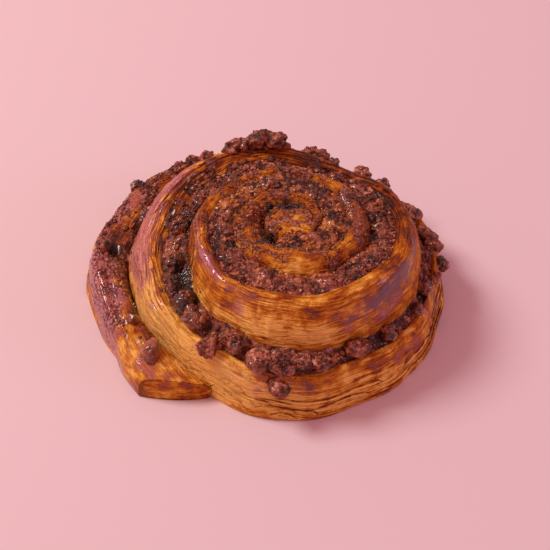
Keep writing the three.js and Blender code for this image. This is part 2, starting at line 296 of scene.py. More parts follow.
marks = [
    # amber pool
    mark(0.219, -4.1, 4.2, 2.4, dent=1.4, brown=0.42, wet=1.4, smooth=1, crust=-2, rose=-1.6, violet=-0.5),
    mark(0.199, -4.8, 2.6, 2, dent=2.2, brown=0.7, rose=-1.2),  # dark pit beside it
    mark(0.145, -2.4, 5.5, 3, wet=1.2, rose=1.6, violet=0.9, smooth=0.2, crust=-0.2),  # glossy patch
    mark(0.15, -9.5, 9, 2.2, brown=0.4, wet=0.8),  # dark crease beside the wall
    mark(0.2, -9.5, 12, 2.6, brown=0.4, wet=0.8),
    mark(0.25, -8, 9, 3, brown=0.3, wet=0.6),
    mark(0.175, 1.5, 14, 5, rose=1.3, wet=0.9, crust=0.4),
    mark(0.125, 3, 12, 4, rose=0.9, wet=0.8, brown=0.08, crust=0.35),
    mark(0.14, 8, 20, 5, rose=1.2, wet=0.6, brown=0.06, crust=0.45),  # its outer side
    mark(0.04, 9, 14, 3.5, rose=0.8, wet=0.6, crust=0.2),
    mark(0.25, 0, 16, 6, rose=1, wet=0.9, violet=0.3),
    mark(0.122, -5.8, 4.2, 3, brown=0.55, wet=0.8, smooth=0.8, rose=-0.5, crust=-0.5),  # syrup
    mark(0.08, -6.6, 6.4, 3.9, brown=0.45, wet=0.8, smooth=0.8, rose=-0.5, crust=-0.5),
    mark(0.115, -1.5, 7, 2.4, brown=-0.15, rose=-0.6),  # amber round the small knob
    mark(0.05, -2, 12, 6, brown=-0.2, crust=-0.5, rose=0.25),  # golden end of the tail
    mark(0.04, -8, 10, 2, brown=-0.2, layers=0.8),
    mark(0.02, 0, 10, 6, rose=0.6),
    mark(0.1, 8, 16, 5, rose=0.6, wet=0.5, layers=0.3),
    mark(1.19, 6.2, 28, 5.8, rose=2, smooth=0.7, wet=0.4, brown=-0.05),  # pink glazed wall, partly a painted pink reflection
    mark(1.3, 6, 16, 3.5, rose=0.9, smooth=0.7, brown=-0.05),
    mark(1.08, 6, 40, 4.8, brown=-1.1, layers=1.3, rose=-0.5),  # golden strand at the left, paler still as painted light where it faces the lamp
    # the same strand lower down, likewise paler as painted light
    mark(1, 11.5, 26, 4, brown=-0.45, layers=1.2),
    mark(1.19, 0, 24, 4, streaks=0.9, brown=0.1, layers=0.5),  # striated top
    mark(1.16, -4, 26, 2.2, brown=0.22, wet=0.6),
    mark(1.18, 2.8, 8, 1, brown=-0.4),
    mark(1.27, -0.5, 20, 4.5, brown=0.2, streaks=0.6),
    mark(1.41, -1, 46, 5, brown=-0.07, layers=1),  # dark back ridge
    mark(1.42, 2.6, 50, 1.1, brown=-0.34),
    mark(1.56, -2, 30, 6, brown=0.14, layers=0.5),
    mark(1.64, -3, 16, 4, brown=0.28, rose=0.2),
    mark(1.66, -1.5, 9, 2.2, brown=-0.3),  # orange spot at the right
    mark(1.92, 2.4, 34, 2.4, brown=-0.1, streaks=0.5),  # golden edge of the main tier
    mark(1.905, 6.2, 12, 2.4, brown=-0.04, smooth=0.6, rose=-0.5, violet=-0.6),  # caramel patch under it
    mark(1.865, 8, 9, 2, brown=-0.02, smooth=0.6, violet=-0.2),
    mark(1.955, 8.5, 9, 3.2, brown=-0.3, rose=-0.3),
    mark(1.91, 13, 34, 3.8, brown=-0.22, layers=0.7, streaks=0.4),  # pale foot of its wall
    mark(1.945, 11, 0.8, 3, dent=-0.3, brown=-0.3),  # pale creases across the wall
    mark(1.96, 5.5, 0.8, 2, dent=-0.3, brown=-0.3),
    mark(1.925, 7, 0.9, 1.2, dent=-0.2, brown=-0.35),
    mark(1.9, 11.5, 3, 0.8, dent=-0.2, brown=-0.25),
    mark(1.737, 4.4, 6, 1.8, violet=1.1, wet=0.8, smooth=0.9),  # painted bluish reflection on the right shoulder, with real gloss
    mark(1.772, 6.3, 7, 1.8, violet=1.2, wet=0.8, smooth=0.9),
    mark(1.802, 8.1, 7, 1.8, violet=1.1, wet=0.8, smooth=0.7),
    mark(1.845, 9.2, 7, 1.8, violet=0.8, brown=0.1),
    mark(1.77, 7, 22, 5, brown=0.14, wet=0.6, rose=0.3),
    mark(1.77, 14, 18, 3.4, rose=0.35, brown=0.04),
    mark(1.85, 13.5, 14, 3, rose=0.35),
    mark(2.16, 1.5, 16, 3, brown=0.04, rose=0.4, crust=0.15, streaks=0.8),
    # glossy streak on the main tier's left edge: real gloss, and its pink a painted highlight
    mark(2.05, 1.6, 17, 1.4, wet=1.2, rose=0.8, smooth=0.3, brown=0.15, crust=-1, dent=-0.4),
    mark(1.988, 7, 2.6, 3.2, wet=0.9, rose=1.3, brown=0.1, violet=0.3),
    mark(0.95, 3.5, 12, 2.6, brown=0.2, wet=0.5),
    mark(0.9, 4, 9, 3, brown=0.18, wet=0.3),
    mark(0.98, 6, 22, 3.5, brown=0.16, rose=0.3, wet=0.3),
    mark(0.95, 6.5, 9, 2, rose=0.4),
    mark(0.87, 13, 70, 4.5, brown=-0.16, layers=1.3),
    mark(0.8, 5, 8, 3, rose=0.45, brown=0.05),
    mark(0.76, 9, 14, 5, rose=0.4, layers=0.8, brown=-0.06),
    mark(0.7, 8, 30, 4, layers=1),
    mark(2.68, -1, 14, 5, violet=0.7, crust=-0.25, wet=0.4),  # syrup on the swirl
    mark(0.7, 4, 16, 5, brown=-0.04, rose=0.5),
    mark(0.45, 8, 90, 5, layers=0.8),
]
# Edges of the dough's layers: points of turn and way from the crest, depth in mm, how many run side by side
# and how far apart they are.
layerEdges = [
    ([(1.19, 1.2), (1.1, 3.6), (1.06, 4.4), (1.02, 8), (0.96, 10.6), (0.9, 11.4)], 0.5, 3, 2.4),
    ([(1, 9.6), (0.9, 10.2), (0.8, 10.6), (0.7, 11), (0.55, 10.6)], 0.6, 3, 1.9),
    ([(0.74, 7.6), (0.6, 8), (0.45, 8.6), (0.3, 8.2), (0.1, 6.5)], 0.4, 2, 2.8),
    ([(1.44, 2), (1.36, 1.4), (1.26, 1.8), (1.2, 3.4)], 0.5, 1, 0),
]


def markEffects(turn, radius, lay):
    names = ("brown", "rose", "violet", "wet", "dent", "crust", "smooth", "streaks", "layers")
    found = dict.fromkeys(names, 0.0)
    for markTurn, markLay, length, width, effects in marks:
        u = (turn - markTurn) * 2 * pi * radius / length
        v = (lay - markLay) / width
        reach = u * u + v * v
        if reach < 5:
            share = exp(-reach)
            for name, amount in effects.items():
                found[name] += share * amount
    return found


def edgeWay(points, turn):  # a layer edge's way from the crest at a turn, or None past its ends
    if not points[0][0] >= turn >= points[-1][0]:
        return None
    for (fromTurn, fromWay), (toTurn, toWay) in zip(points, points[1:]):
        if turn >= toTurn:
            return lerp(toWay, fromWay, (turn - toTurn) / (fromTurn - toTurn))


# The dough's own unevenness in mm: depth and size, or depth, length and width.
doughLook = {
    "heave": (0.55, 15),
    "lumps": (0.3, 5.5),
    "blisters": (0.9, 2.6),
    "blistersOver": 0.42,
    "fibres": (0.15, 6.5, 1.1),
    "threads": (0.1, 3.2, 0.55),
    "wander": (1.4, 9),  # of the fibres and threads
    "edgeWander": (0.9, 26),  # of the edges of the layers
    "edgeReach": (-1.5, 4),  # how far before and past such an edge it counts
    "edgeFade": 0.9,  # of the step past it
    "crust": [(0.5, 1.6), (0.4, 0.85)],  # grains of the crumble baked onto it
    "footFade": (0.2, 2),  # heights between which the relief sets in
    "wet": 0.25,
    "cutBrown": 0.05,  # of the strip's ends
    "noEdge": 3,  # stands for the way to a layer's edge where there is none
}


def crustAt(turn, lay, spot):  # share of baked-on crumble on the dough
    rim = between(turn, 0.16, 0.21, 0.36, 0.44) * (1 - smoothstep(lay, 1, 7))
    tail = 0.6 * between(turn, 0.07, 0.13, 0.3, 0.4) * (1 - smoothstep(lay, 0, 6))
    spread = 3.2 * between(turn, 1.17, 1.24, 1.3, 1.36)
    inner = smoothstep(spread - lay, 3.4, 6.5) * smoothstep(turn, 0.3, 0.42)
    swirl = smoothstep(turn, *coil["swirlFrom"])
    back = smoothstep(lay, 4, 7) * between(turn, 1.28, 1.36, 1.62, 1.72)
    cover = max(0.9 * rim, tail, inner, 0.62 * swirl, 0.8 * back)
    return cover * smoothstep(noiseAt(spot, 5, 4, 4, 2), -0.4, 0.2)


def unevenness(name, spot, *shift):
    depth, size = doughLook[name]
    return depth * noiseAt(spot, size, *shift)


def doughRelief(turn, way, lay, spot):  # relief, fine relief, and the way past the nearest edge of a layer
    look = doughLook
    relief = unevenness("heave", spot, 0, 0, 0) + unevenness("lumps", spot, 7, 3, 1)
    depth, size = look["blisters"]
    relief += depth * max(0, noiseAt(spot, size, 1, 9, 4) - look["blistersOver"])
    strayed = lay + unevenness("wander", spot, 3, 3, 3)
    fine = 0
    for depth, length, width in (look["fibres"], look["threads"]):
        fine += depth * noise.noise(Vector((way / length, strayed / width, length)))
    edge = look["noEdge"]
    wander, wanderLength = look["edgeWander"]
    low, high = look["edgeReach"]
    for k, (points, depth, count, spacing) in enumerate(layerEdges):
        level = edgeWay(points, turn)
        if level is None or not low < level - lay + spacing * (count - 1) < high + spacing * count:
            continue
        ends = min(turn - points[-1][0], points[0][0] - turn)
        for j in range(count):
            stray = wander * noise.noise(Vector((way / wanderLength, 5.1 * k + 2.3 * j, 0.7)))
            past = level + spacing * j - lay + stray
            if low < past < high:
                lifted = smoothstep(noise.noise(Vector((way / 12, 3.7 * k + 1.9 * j, 9.2))), -0.35, 0.05)
                lifted *= smoothstep(ends, 0, 0.02)
                step = smoothstep(past, -0.15, 0.25) * exp(-max(0, past) / look["edgeFade"])
                relief -= lifted * depth * step
                shown = past + look["noEdge"] * (1 - lifted)
                if abs(shown) < abs(edge):
                    edge = shown
    return relief, fine, edge


browned = {"back": 0.58, "front": 0.34, "frontCompass": 250, "ridges": 0.06, "foot": 0.06, "swirl": 0.57}


def browning(turn, compass, lay, height):  # the front is golden, the back, the right and the swirl are darker
    front = 0.5 + 0.5 * cos(radians(compass - browned["frontCompass"]))
    base = lerp(browned["back"], browned["front"], front)
    base += browned["ridges"] * smoothstep(height, 18, 36) * (1 - smoothstep(lay, 0, 6))
    base -= browned["foot"] * front * smoothstep(lay, 3, 13)
    return lerp(base, browned["swirl"], smoothstep(turn, *coil["swirlFrom"]))


def newMesh(*names):  # an empty mesh, with fields that hold what the materials read
    bm = bmesh.new()
    kinds = bm.verts.layers
    fields = {name: (kinds.float_vector if name == "strip" else kinds.float).new(name) for name in names}
    return bm, fields


def paint(vert, fields, **values):
    for name, value in values.items():
        vert[fields[name]] = value


def grid(bm, columns, rows):  # the vertices of a new grid, with the column and row of each
    bmesh.ops.create_grid(bm, x_segments=columns, y_segments=rows, size=0.5)
    for vert in bm.verts:
        yield vert, round((vert.co.x + 0.5) * columns), round((vert.co.y + 0.5) * rows)


def addObject(name, data):
    made = bpy.data.objects.new(name, data)
    bpy.context.scene.collection.objects.link(made)
    return made


def meshObject(name, bm, closed=False):  # a closed one has its seams and ends merged
    if closed:
        bmesh.ops.remove_doubles(bm, verts=bm.verts[:], dist=1e-6)
        bmesh.ops.recalc_face_normals(bm, faces=bm.faces[:])
    mesh = bpy.data.meshes.new(name)
    bm.to_mesh(mesh)
    bm.free()
    mesh.polygons.foreach_set("use_smooth", [True] * len(mesh.polygons))
    return addObject(name, mesh)


def towards(compass, height):
    side, up = radians(compass), radians(height)
    return Vector((cos(side) * cos(up), sin(side) * cos(up), sin(up)))


def aim(made, spot, direction):
    made.location = spot
    made.rotation_euler = direction.to_track_quat("-Z", "Y").to_euler()


def finishPiece(piece, node, material):
    piece.data.materials.clear()
    piece.data.materials.append(material)
    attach(piece, "root")
    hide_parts(node)
    print(piece.name, len(piece.data.polygons), "faces")
    return piece


# Shader maths written as sums and products of fields that vary over a surface.
class Field:
    def __init__(self, surface, socket):
        self.surface = surface
        self.socket = socket

    def math(self, operation, *others):
        values = dict(enumerate((self, *others)))
        return self.surface.node("ShaderNodeMath", {"operation": operation}, values)

    def __add__(self, other):
        return self.math("ADD", other)

    def __sub__(self, other):
        return self.math("SUBTRACT", other)

    def __rsub__(self, other):
        return self.surface.node("ShaderNodeMath", {"operation": "SUBTRACT"}, {0: other, 1: self})

    def __mul__(self, other):
        return self.math("MULTIPLY", other)

    __radd__ = __add__
    __rmul__ = __mul__

    def within(self, low, high):  # smoothly from 0 at low to 1 at high
        values = {"Value": self, "From Min": low, "From Max": high}
        return self.surface.node("ShaderNodeMapRange", {"interpolation_type": "SMOOTHSTEP"}, values)


class Surface:  # a material as it is built up
    def __init__(self, name):
        self.material = bpy.data.materials.new(name)
        self.material.use_nodes = True
        self.tree = self.material.node_tree
        self.shader = next(n for n in self.tree.nodes if n.type == "BSDF_PRINCIPLED")

    def feed(self, socket, value):
        if isinstance(value, Field):
            self.tree.links.new(value.socket, socket)
        else:
            socket.default_value = value

    def node(self, kind, settings, values, output=0):
        made = self.tree.nodes.new(kind)
        for name, setting in settings.items():
            if name == "stops":
                ramp = made.color_ramp
                while len(ramp.elements) < len(setting):
                    ramp.elements.new(1)
                for element, (position, colour) in zip(ramp.elements, setting):
                    element.position = position
                    element.color = (*colour, 1)
            else:
                setattr(made, name, setting)
        for name, value in values.items():
            self.feed(made.inputs[name], value)
        return Field(self, made.outputs[output])

    def attribute(self, name, output="Fac"):
        return self.node("ShaderNodeAttribute", {"attribute_name": name}, {}, output)

    def objectSpace(self):
        return self.node("ShaderNodeTexCoord", {}, {}, "Object")

    def strayed(self, vector, space, scale, detail, reach):  # a vector that noise leads astray
        values = {"Vector": space, "Scale": scale, "Detail": detail}
        values = {0: self.node("ShaderNodeTexNoise", {}, values, "Color"), 1: reach, 2: vector}
        return self.node("ShaderNodeVectorMath", {"operation": "MULTIPLY_ADD"}, values)

    def cloud(self, vector, scale, detail=3, roughness=0.55):  # noise, stretched where the scale is a vector
        if isinstance(scale, tuple):
            vector = self.node("ShaderNodeVectorMath", {"operation": "MULTIPLY"}, {0: vector, 1: scale})
            scale = 1
        values = {"Vector": vector, "Scale": scale, "Detail": detail, "Roughness": roughness}
        return self.node("ShaderNodeTexNoise", {}, values)

    def mix(self, share, first, second):
        return self.node("ShaderNodeMix", {"data_type": "RGBA"}, {0: share, 6: first, 7: second}, 2)

    def ramp(self, share, stops):
        return self.node("ShaderNodeValToRGB", {"stops": stops}, {"Fac": share})

    def cells(self, vector, scale):  # grains: how far from the middle of one, and a tint from -0.5 to 0.5
        far = self.node("ShaderNodeTexVoronoi", {}, {"Vector": vector, "Scale": scale})
        tint = Field(self, far.socket.node.outputs["Color"])
        return far, self.node("ShaderNodeSeparateColor", {}, {"Color": tint}) - 0.5

    def bump(self, height, distance):
        return self.node("ShaderNodeBump", {}, {"Height": height, "Distance": distance, "Strength": 1})

    def finish(self, values):
        for name, value in values.items():
            self.feed(self.shader.inputs[name], value)
        return self.material


def doughMaterial():
    look = {
        # scales along the strip and across it, for each mm, and then scales in space, for each metre
        "fibres": (0.07, 0.75, 0), "threads": (0.16, 2.4, 0), "strata": (0.022, 0.26, 0),
        "mottle": 250, "patches": 95, "specks": 1100, "grains": 1050,
        "stray": (3, 1.6, 0),
        "relief": 0.0006,
        "crust": [
            (0, (0.96, 0.52, 0.13)), (0.2, (0.7, 0.28, 0.024)), (0.4, (0.5, 0.135, 0.006)),
            (0.6, (0.28, 0.048, 0.004)), (0.8, (0.12, 0.018, 0.003)), (1, (0.04, 0.008, 0.003)),
        ],
        "crumbs": [(0.1, (0.05, 0.012, 0.007)), (0.4, (0.22, 0.058, 0.03)), (0.7, (0.45, 0.17, 0.11))],
        "rose": [
            (0.1, (0.15, 0.028, 0.02)), (0.4, (0.42, 0.11, 0.1)), (0.6, (0.6, 0.175, 0.215)),
            (0.9, (0.82, 0.44, 0.47)),
        ],
        "violet": (0.19, 0.085, 0.12, 1),
        "burnt": (0.018, 0.007, 0.006, 1),
    }
    skin = Surface("glazed_dough")
    strip = skin.attribute("strip", "Vector")
    space = skin.objectSpace()
    strayed = skin.strayed(strip, space, 160, 2, look["stray"])
    fibres = skin.cloud(strayed, look["fibres"]) - 0.5
    threads = skin.cloud(strayed, look["threads"], 2, 0.5) - 0.5
    strata = skin.cloud(strip, look["strata"], 2, 0.4)
    mottle = skin.cloud(space, look["mottle"]) - 0.5
    patches = skin.cloud(space, look["patches"], 3, 0.6) - 0.5
    specks = skin.cloud(space, look["specks"], 3, 0.7) - 0.5
    far, tint = skin.cells(space, look["grains"])
    brown = skin.attribute("brown")
    streaks = skin.attribute("streaks")
    shade = brown + fibres * (0.85 + streaks * 1.3) + threads * (0.7 + streaks)
    shade = shade + mottle * 1.2 + patches * 1.25 + specks * 0.4
    layers = (skin.attribute("layers") + 0.25).within(0, 1.2)
    line = ((strata * 9 + threads * 0.5).math("FRACT") - 0.5).math("ABSOLUTE")
    dark = line.within(0.36, 0.47) * layers
    light = line.within(0.2, 0.05) * layers
    # At a layer's edge: painted shade in the crevice below it, and a painted highlight on its lifted lip.
    edge = skin.attribute("edge") + mottle * 0.6
    edgeCreviceShade = (edge - 0.15).math("ABSOLUTE").within(0.3, 0.06)
    edgeLipHighlight = (edge + 0.45).math("ABSOLUTE").within(0.6, 0.1)
    colour = skin.ramp(shade + edgeCreviceShade * 0.36 + dark * 0.2 - edgeLipHighlight * 0.2 - light * 0.12, look["crust"])
    covered = (skin.attribute("crust") + specks + mottle * 1.4 + fibres * 0.8).within(0.36, 0.64)
    gaps = far.within(0.42, 0.78)
    crumb = tint * 0.42 + mottle * 1.4 + fibres * 0.6 - gaps * 0.24 - (brown - 0.6) * 0.5 + 0.47
    colour = skin.mix(covered, colour, skin.ramp(crumb, look["crumbs"]))
    # Pink: partly the glaze's and sugar's own, partly a painted pink reflection of the surroundings.
    rosyAndSheen = (skin.attribute("rose") + mottle * 1.8 + patches + fibres * 1.2).within(0.3, 1.2)
    sugared = specks * 1.1 + fibres * 0.7 + covered * (tint * 0.5 - gaps * 0.4) + 0.52
    colour = skin.mix(rosyAndSheen * 0.85, colour, skin.ramp(sugared, look["rose"]))
    # Violet: partly a purple tint, partly a painted bluish reflection on glossy places.
    bluishSheen = (skin.attribute("violet") + mottle * 1.4 + fibres * 1.6).within(0.35, 1.15)
    colour = skin.mix(bluishSheen * 0.75, colour, look["violet"])
    burnt = (skin.attribute("burnt") + mottle * 0.9 + tint * 0.3).within(0.3, 0.62)
    colour = skin.mix(burnt * 0.92, colour, look["burnt"])
    grain = fibres * 0.8 + threads * 0.9 + specks * 0.7 - covered * gaps * 0.9 - edgeCreviceShade * 0.9 - dark * 0.5
    gloss = (skin.attribute("wet") + burnt + patches * 1.6 + mottle * 1.4).within(0.3, 0.8)
    return skin.finish({
        "Base Color": colour, "Roughness": 0.5 - gloss * 0.34 + specks * 0.6 + covered * 0.06,
        "Normal": skin.bump(grain, look["relief"]), "Coat Weight": gloss * 0.8, "Coat Roughness": 0.1,
        "Specular IOR Level": 0.12})


def crumbleMaterial():
    look = {
        # scales in space, for each metre, and then along the strip and across it, for each mm
        "grains": 850, "clusters": 390, "specks": 1500, "clumps": 210, "sugar": 480,
        "fibres": (0.3, 1.6, 0),
        "stray": (0.0012, 0.0012, 0.0012),
        "relief": 0.0006,
        "melted": (0.45, 0.55),
        "colours": [
            (0, (0.045, 0.01, 0.006)), (0.22, (0.13, 0.027, 0.01)), (0.42, (0.29, 0.068, 0.03)),
            (0.66, (0.5, 0.16, 0.095)), (1, (0.78, 0.4, 0.31)),
        ],
        "golden": [(0.1, (0.11, 0.02, 0.003)), (0.4, (0.42, 0.11, 0.012)), (0.8, (0.68, 0.26, 0.045))],
        "burnt": (0.02, 0.008, 0.006, 1),
    }
    skin = Surface("cinnamon_crumble")
    space = skin.objectSpace()
    strayed = skin.strayed(space, space, 700, 1, look["stray"])
    far, tint = skin.cells(strayed, look["grains"])
    bigFar, bigTint = skin.cells(strayed, look["clusters"])
    specks = skin.cloud(space, look["specks"], 2, 0.6) - 0.5
    clumps = skin.cloud(space, look["clumps"]) - 0.5
    sugar = skin.cloud(space, look["sugar"], 3, 0.7)
    fibres = skin.cloud(skin.attribute("strip", "Vector"), look["fibres"], 3, 0.65) - 0.5
    tone = skin.attribute("tone")
    wet = skin.attribute("wet")
    gaps = far.within(0.45, 0.8) * 0.1 + bigFar.within(0.5, 0.85) * 0.15
    shade = tone + tint * 0.24 + bigTint * 0.16 + clumps * 0.95 + specks * 0.25
    shade = shade - gaps * (1 - wet * 0.7) + fibres * 0.6
    colour = skin.ramp(shade, look["colours"])
    golden = (skin.attribute("golden") + clumps * 1.6 + tint * 0.3 + fibres * 1.4).within(0.4, 0.7)
    colour = skin.mix(golden * 0.9, colour, skin.ramp(shade + 0.06, look["golden"]))
    burnt = (skin.attribute("burnt") + clumps * 0.9 + tint * 0.3).within(0.28, 0.6)
    colour = skin.mix(burnt * 0.92, colour, look["burnt"])
    melted = sugar + tint * 0.16 + (0.4 - tone) * 0.2 + (wet - 0.35) * 0.35 + burnt * 0.12
    melted = melted.within(*look["melted"])
    relief = specks * 0.25 + clumps * 0.5 - gaps * 3 * (1 - wet * 0.6)
    return skin.finish({
        "Base Color": colour, "Roughness": 0.52 - melted * 0.36, "Normal": skin.bump(relief, look["relief"]),
        "Coat Weight": melted, "Coat Roughness": 0.08, "Specular IOR Level": 0.4})


doughSkin = doughMaterial()
crumbleSkin = crumbleMaterial()
print("materials made")


# The dough strip, as three pieces: their ends in turns, and how many faces lie along them, round them and
# from the rim of a closed end to its middle. The first two meet under the crumbs of the back ridge.
stripPieces = [
    ("dough_outer_turn", 0, 1.4, 640, 148, 9),
    ("dough_main_tier", 1.4, 2.35, 640, 148, 4),
    ("dough_swirl", 2.35, 3.9, 700, 132, 4),
]
doughFields = ("strip", "brown", "rose", "violet", "wet", "crust", "streaks", "layers", "edge", "burnt")
sampling = {
    "belowFloor": -5, "outerCovered": (0.97, 1.1),  # the first turn's outer side shows down to the floor
    "aboveAll": 46, "innerCovered": (2.8, 3.1),  # the last turn's inner side shows nowhere
    "fade": (-4, -1.5),
    "hidden": 0.14,  # how closely what is hidden is sampled
}


# Points round a section, close together above the levels from which its outer and its inner side show, as
# radius, height, way out and up, and way from the crest.
def sectionSamples(cut, rows):
    turn = cut.turn
    covered = smoothstep(turn, *sampling["outerCovered"])
    outerShows = lerp(sampling["belowFloor"], heapLevel(max(0, turn - 1), 0), covered)
    innerShows = lerp(heapLevel(turn, 1), sampling["aboveAll"], smoothstep(turn, *sampling["innerCovered"]))
    low, high = sampling["fade"]
    points = [cut.spot(share, level) for share, level in outline] + [cut.spot(*outline[0])]
    reached, lengths = [0.0], [0.0]
    for i, (a, b) in enumerate(zip(points, points[1:])):
        height = (a[1] + b[1]) / 2
        shows = outerShows if i < crestIndex else innerShows
        seen = smoothstep(height, shows + low, shows + high) if i >= baseSteps else 0
        length = hypot(b[0] - a[0], b[1] - a[1])
        reached.append(reached[-1] + length * lerp(sampling["hidden"], 1, seen))
        lengths.append(lengths[-1] + length)
    found = []
    for i, u, _ in evenly(reached, rows):
        a, b = points[i], points[i + 1]
        tangent = Vector((b[0] - a[0], b[1] - a[1])).normalized()
        lay = lengths[crestIndex] - lerp(lengths[i], lengths[i + 1], u)
        found.append((lerp(a[0], b[0], u), lerp(a[1], b[1], u), tangent.y, -tangent.x, lay))
    return found


def windStrip(name, start, end, columns, rows, cap):
    bm, fields = newMesh(*doughFields)
    before = runLengths(0, start, outerWall, 1)[-1][1] if start > 0 else 0
    spots = runLengths(start, end, outerWall, columns - 2 * cap)
    spots = [spots[0]] * cap + spots + [spots[-1]] * cap
    slices = []
    for turn, way in spots:
        cut = Cut(turn)
        samples = sectionSamples(cut, rows)
        middle = [sum(sample[k] for sample in samples) / len(samples) for k in (0, 1)]
        slices.append((cut, samples, way + before, middle))
    rims = set()
    for vert, column, row in grid(bm, columns, rows):
        if column in (cap, columns - cap):
            rims.add(vert)
        cut, samples, way, middle = slices[column]
        radius, height, outX, outZ, lay = samples[row]
        spot = cut.place(radius, height) / mm
        relief, fine, edge = doughRelief(cut.turn, way, lay, spot)
        effects = markEffects(cut.turn, radius, lay)
        burnt, pale = bakedAt(spot - eyeSpot / mm)
        crust = clamp(crustAt(cut.turn, lay, spot) - pale + effects["crust"])
        push = relief + fine * (1 - clamp(effects["smooth"])) * (1 + effects["streaks"]) - effects["dent"]
        if crust > 0.02:
            push += crust * sum(depth * (granules(spot, size) - 0.5) for depth, size in doughLook["crust"])
        push *= smoothstep(height, *doughLook["footFade"])
        radius += outX * push
        height = max(0, height + outZ * push)
        shrunk = min(1, column / cap, (columns - column) / cap)  # towards the closed ends
        radius, height = lerp(middle[0], radius, shrunk), lerp(middle[1], height, shrunk)
        vert.co = cut.place(radius, height)
        strip = Vector((4 * radius, height, 0) if shrunk < 1 else (way, lay, 0))
        brown = browning(cut.turn, cut.compass, lay, height) + effects["brown"] - pale
        brown += doughLook["cutBrown"] if shrunk < 1 else 0
        wet = clamp(doughLook["wet"] + effects["wet"])
        values = {name: effects[name] for name in ("rose", "violet", "streaks", "layers")}
        values.update(strip=strip, brown=brown, burnt=burnt, edge=edge, wet=wet, crust=crust)
        paint(vert, fields, **values)
    for edge in bm.edges:
        edge.smooth = not (edge.verts[0] in rims and edge.verts[1] in rims)
    return meshObject(name, bm, closed=True)


def makeEye():  # the domed middle that the strip closes onto
    look = {
        "steps": 96, "rings": 64, "squareness": 3, "proud": 0.6, "foot": 12,
        "heave": (0.9, 4), "lumps": (0.4, 1.6), "brown": 0.52, "wet": 0.35, "crust": 0.5,
    }
    bm, fields = newMesh(*doughFields)
    bmesh.ops.create_uvsphere(bm, u_segments=look["steps"], v_segments=look["rings"], radius=1)
    for vert in bm.verts:
        x, y, up = vert.co
        side = max(1e-6, hypot(x, y))
        radius = (coil["eyeRadius"] + look["proud"]) * (1 - (1 - min(1, side)) ** look["squareness"])
        height = coil["eyeHeight"] - coil["eyeDome"] * (1 - up) if up > 0 else look["foot"]
        spot = Vector((x / side * radius, y / side * radius, height))
        for depth, size in (look["heave"], look["lumps"]):
            spot.z += depth * noise.noise(spot / size) * smoothstep(up, 0, 0.3)
        vert.co = eyeSpot + spot * mm
        burnt, pale = bakedAt(spot)
        paint(vert, fields, strip=Vector((spot.x * 2, spot.y, coil["turns"])), brown=look["brown"] - pale,
              burnt=burnt, wet=look["wet"], crust=look["crust"], edge=doughLook["noEdge"])
    return meshObject("dough_eye", bm, closed=True)


doughPieces = [windStrip(*settings) for settings in stripPieces] + [makeEye()]
for piece in doughPieces:
    finishPiece(piece, "dough_coil", doughSkin)


# The crumble: a rough bed that winds through the roll, its lumps, and what is strewn over them.
bed = {
    "pieces": [
        ("crumble_outer_bed", 0.012, 0.97), ("crumble_middle_bed", 0.967, 1.98),
        ("crumble_swirl_bed", 1.976, 2.98),
    ],
    "columns": 1400, "topRows": 56, "sideRows": 3,
    "reach": (0.7, 0.55),  # from here in the turn inside it to here in the strip, as shares of their widths
    "clearance": 0.4, "heapRise": 0.1, "lift": -0.85,
    "joinedDrop": 2.5,  # where the tail's flank closes the groove
    # where the bed is lower, its tone, which follows its height, is darker as painted shade
    "crevice": (0.7, 0.74, 0.84, 0.88),  # the bed is lower here, and has fewer crumbs
    "creviceDrop": 0.5,
    "grains": [(0.95, 3.1), (0.65, 1.5), (0.25, 0.75)],  # depth and size in mm
}


# How burnt the crumble is, with painted shade added where it lies in the left groove.
def burntAndShadedAt(spot):  # about 0 to 1 for a place in mm, below 0 where it is lighter
    patchy = smoothstep(noiseAt(spot, 7, 2, 8, 5), 0.1, 0.5)
    fromEye = spot - eyeSpot / mm
    radius = hypot(fromEye.x, fromEye.y)
    # painted shade: the crumble in the left groove is made darker
    leftGrooveShade = smoothstep(-fromEye.x, 22, 34) * (1 - smoothstep(radius, 46, 50))
    swirl = 1 - smoothstep(radius, 24, 32)
    return 0.5 * patchy + 0.3 * scorchAt(fromEye) + 0.5 * leftGrooveShade + 0.2 * swirl


def windBed(name, start, end):
    side, top, columns = bed["sideRows"], bed["topRows"], bed["columns"]
    section = straight((0, 0), (1, 0), side) + straight((1, 0), (1, 1), side)
    section = [(0, 0)] + section + straight((1, 1), (0, 1), top) + straight((0, 1), (0, 0), side)
    rows = len(section) - 1
    bm, fields = newMesh("strip", "tone", "golden", "burnt")
    slices = []
    for turn, way in runLengths(start, end, innerWall, columns):
        cut, inside = Cut(turn), Cut(turn + 1)
        inner, outer = bed["reach"]
        reach = (max(inside.spot(inner, 1)[0], coil["eyeRadius"] - 1), cut.spot(outer, 1)[0])
        slices.append((cut, reach, way))
    for vert, column, row in grid(bm, columns, rows):
        across, up = section[row]
        cut, reach, way = slices[column]
        level = heapLevel(cut.turn, across) + 0.5 * waviness(1.7 * cut.turn, across)
        level = lerp(bed["clearance"], level, up * (1 + 2 * bed["heapRise"] * across * (1 - across)))
        radius = lerp(*reach, across)
        spot = cut.place(radius, level) / mm
        swirl = smoothstep(cut.turn, 1.98, 2.3)
        burnt, pale = bakedAt(spot - eyeSpot / mm)
        drop = bed["joinedDrop"] * cut.joined + bed["creviceDrop"] * between(cut.turn, *bed["crevice"])
        relief = bed["lift"] - drop
        for depth, size in bed["grains"]:
            relief += depth * granules(spot, size) * (1 - 0.35 * swirl)
        closed = min(1, column, columns - column)
        level = max(0, lerp(3, level + up * relief, closed))
        vert.co = cut.place(lerp(sum(reach) / 2, radius, closed), level)
        # the tone follows the bed's height: darker between its grains and, as painted shade, in the crevice
        paint(vert, fields, strip=Vector((way, radius, 0)), tone=0.34 + 0.26 * relief - 0.26 * burntAndShadedAt(spot),
              golden=0.54 * swirl + pale, burnt=burnt)
    return meshObject(name, bm, closed=True)


